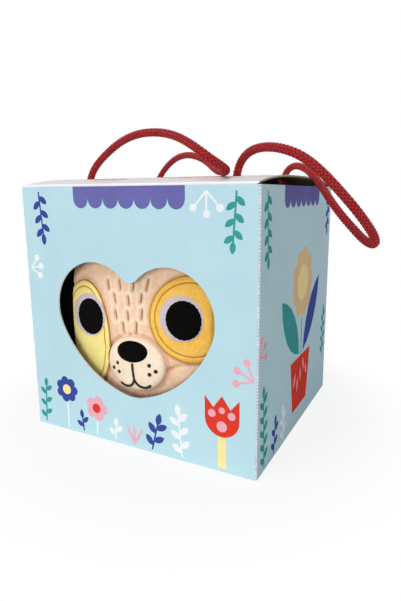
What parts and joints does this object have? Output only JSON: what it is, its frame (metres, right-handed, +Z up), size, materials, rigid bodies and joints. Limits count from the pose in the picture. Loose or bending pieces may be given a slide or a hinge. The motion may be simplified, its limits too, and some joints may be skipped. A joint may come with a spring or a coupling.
{
  "type": "boxed fold-out soft book",
  "caption": "Plush-faced fold-out cloth book standing in a card carrier box with a heart window, an arched hinged lid and rope handles.",
  "frame": {"origin": "middle of the carton's base, at the surface that it stands on, measured without the rope handles and their knots", "axes": "+Z up, -Y out of the heart window, +X to the right as seen from the front; the lid hinges at +Y"},
  "size_m": [0.2028, 0.1433, 0.1808],
  "materials": {
    "card_blue": "matt printed card",
    "card_white": "matt printed card",
    "rope_red": "braided polyester rope",
    "plush_peach": "short-pile plush",
    "plush_cream": "short-pile plush",
    "plush_black": "short-pile plush",
    "plush_yellow": "short-pile plush",
    "felt_white": "felted fabric",
    "felt_black": "felted fabric",
    "thread_black": "satin-stitched thread",
    "page_cloth": "padded cotton",
    "ink_purple": "matt print",
    "ink_teal": "matt print",
    "ink_navy": "matt print",
    "ink_white": "matt print",
    "ink_pink": "matt print",
    "ink_red": "matt print",
    "ink_yellow": "matt print",
    "ink_peach": "matt print",
    "ink_orange": "matt print"
  },
  "bodies": {
    "carton": {"carton": "card_blue", "face_cover": "plush_peach", "book_pages": "page_cloth", "back_cover": "plush_peach", "left_ear": "plush_black", "right_ear": "plush_black", "left_eye_patch": "plush_yellow", "right_eye_patch": "plush_yellow", "left_eye_white": "felt_white", "right_eye_white": "felt_white", "left_pupil": "felt_black", "right_pupil": "felt_black", "muzzle": "plush_cream", "nose": "felt_black", "mouth": "thread_black", "freckles": "thread_black", "purple_print": "ink_purple", "teal_print": "ink_teal", "navy_print": "ink_navy", "white_print": "ink_white", "pink_print": "ink_pink", "red_print": "ink_red", "yellow_print": "ink_yellow", "peach_print": "ink_peach"},
    "lid": {"lid": "card_white", "left_rope": "rope_red", "right_rope": "rope_red", "left_rope_knots": "rope_red", "right_rope_knots": "rope_red", "lid_orange_print": "ink_orange", "lid_red_print": "ink_red", "lid_leaf_print": "ink_pink"}
  },
  "joints": [
    {"name": "lid_hinge", "type": "hinge", "parent": "carton", "child": "lid", "pos_m": [0, 0.071, 0.1502], "axis": [-1, 0, 0], "range_deg": [0, 180]}
  ]
}
